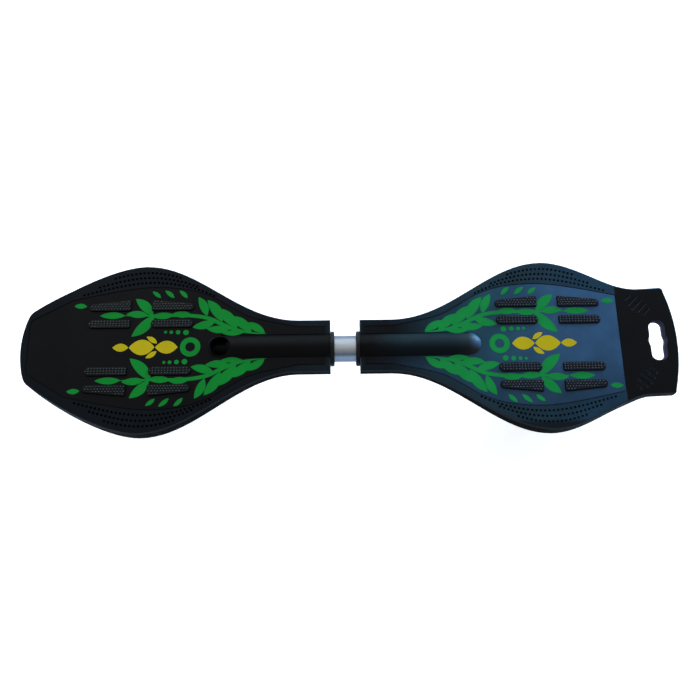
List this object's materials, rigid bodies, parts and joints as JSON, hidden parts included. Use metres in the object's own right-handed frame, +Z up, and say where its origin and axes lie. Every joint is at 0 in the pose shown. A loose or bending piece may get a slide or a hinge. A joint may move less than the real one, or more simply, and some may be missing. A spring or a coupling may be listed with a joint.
{
  "type": "caster board",
  "caption": "Twisting board of two foot decks on a sprung tube, each on a leaning trailing caster, with grip pads and a carry slot in the tail.",
  "frame": {"origin": "on the floor, below the middle of the board's length and width", "axes": "+X from the nose to the tail, +Y to the right of a rider who faces the nose, +Z up"},
  "size_m": [0.863, 0.234, 0.1215],
  "materials": {
    "deck_black": "satin black moulded plastic",
    "deck_slate": "satin slate-black moulded plastic",
    "grip_rubber": "matt black rubber with fine nubs",
    "moulded_nylon": "black moulded nylon",
    "tube_aluminium": "drawn and anodised tube",
    "zinc_steel": "zinc-plated steel",
    "spring_steel": "oiled spring steel",
    "bearing_steel": "ground bearing steel",
    "wheel_urethane": "cast urethane",
    "hub_nylon": "moulded nylon wheel core",
    "print_green": "opaque satin ink",
    "print_yellow": "opaque satin ink"
  },
  "bodies": {
    "front_half": {"front_deck": "deck_black", "front_left_inner_near_pad": "grip_rubber", "front_right_inner_near_pad": "grip_rubber", "front_left_outer_near_pad": "grip_rubber", "front_right_outer_near_pad": "grip_rubber", "front_left_inner_far_pad": "grip_rubber", "front_right_inner_far_pad": "grip_rubber", "front_left_outer_far_pad": "grip_rubber", "front_right_outer_far_pad": "grip_rubber", "front_collar": "moulded_nylon", "front_plug": "moulded_nylon", "tube_lock_screw": "zinc_steel", "plug_bolt": "zinc_steel", "torsion_tube": "tube_aluminium", "torsion_spring": "spring_steel", "front_base_plate": "zinc_steel", "front_upper_race": "bearing_steel", "front_king_bolt": "zinc_steel", "front_king_nut": "zinc_steel"},
    "rear_half": {"rear_deck": "deck_slate", "rear_left_inner_near_pad": "grip_rubber", "rear_right_inner_near_pad": "grip_rubber", "rear_left_outer_near_pad": "grip_rubber", "rear_right_outer_near_pad": "grip_rubber", "rear_left_inner_far_pad": "grip_rubber", "rear_right_inner_far_pad": "grip_rubber", "rear_left_outer_far_pad": "grip_rubber", "rear_right_outer_far_pad": "grip_rubber", "rear_collar": "moulded_nylon", "rear_anchor": "moulded_nylon", "twist_stop_screw": "zinc_steel", "anchor_bolt": "zinc_steel", "rear_base_plate": "zinc_steel", "rear_upper_race": "bearing_steel", "rear_king_bolt": "zinc_steel", "rear_king_nut": "zinc_steel"},
    "front_caster": {"front_ball_ring": "bearing_steel", "front_lower_race": "bearing_steel", "front_fork": "zinc_steel", "front_axle_bolt": "zinc_steel", "front_axle_nut": "zinc_steel", "front_left_axle_spacer": "zinc_steel", "front_right_axle_spacer": "zinc_steel", "front_bearing_spacer": "tube_aluminium"},
    "front_wheel": {"front_left_bearing": "bearing_steel", "front_right_bearing": "bearing_steel", "front_tyre": "wheel_urethane", "front_hub": "hub_nylon"},
    "rear_caster": {"rear_ball_ring": "bearing_steel", "rear_lower_race": "bearing_steel", "rear_fork": "zinc_steel", "rear_axle_bolt": "zinc_steel", "rear_axle_nut": "zinc_steel", "rear_left_axle_spacer": "zinc_steel", "rear_right_axle_spacer": "zinc_steel", "rear_bearing_spacer": "tube_aluminium"},
    "rear_wheel": {"rear_left_bearing": "bearing_steel", "rear_right_bearing": "bearing_steel", "rear_tyre": "wheel_urethane", "rear_hub": "hub_nylon"}
  },
  "joints": [
    {"name": "deck_twist", "type": "hinge", "parent": "front_half", "child": "rear_half", "pos_m": [-0.0055, 0, 0.097], "axis": [1, 0, 0], "range_deg": [-40, 40], "stiffness_Nm_per_rad": 30, "deforming": ["torsion_spring"]},
    {"name": "front_swivel", "type": "hinge", "parent": "front_half", "child": "front_caster", "pos_m": [-0.2675, 0, 0.08069], "axis": [-0.5, 0, 0.866], "continuous": true},
    {"name": "front_wheel_spin", "type": "hinge", "parent": "front_caster", "child": "front_wheel", "pos_m": [-0.21745, 0, 0.038], "axis": [0, 1, 0], "continuous": true},
    {"name": "rear_swivel", "type": "hinge", "parent": "rear_half", "child": "rear_caster", "pos_m": [0.2565, 0, 0.08069], "axis": [-0.5, 0, 0.866], "continuous": true},
    {"name": "rear_wheel_spin", "type": "hinge", "parent": "rear_caster", "child": "rear_wheel", "pos_m": [0.30655, 0, 0.038], "axis": [0, 1, 0], "continuous": true}
  ]
}
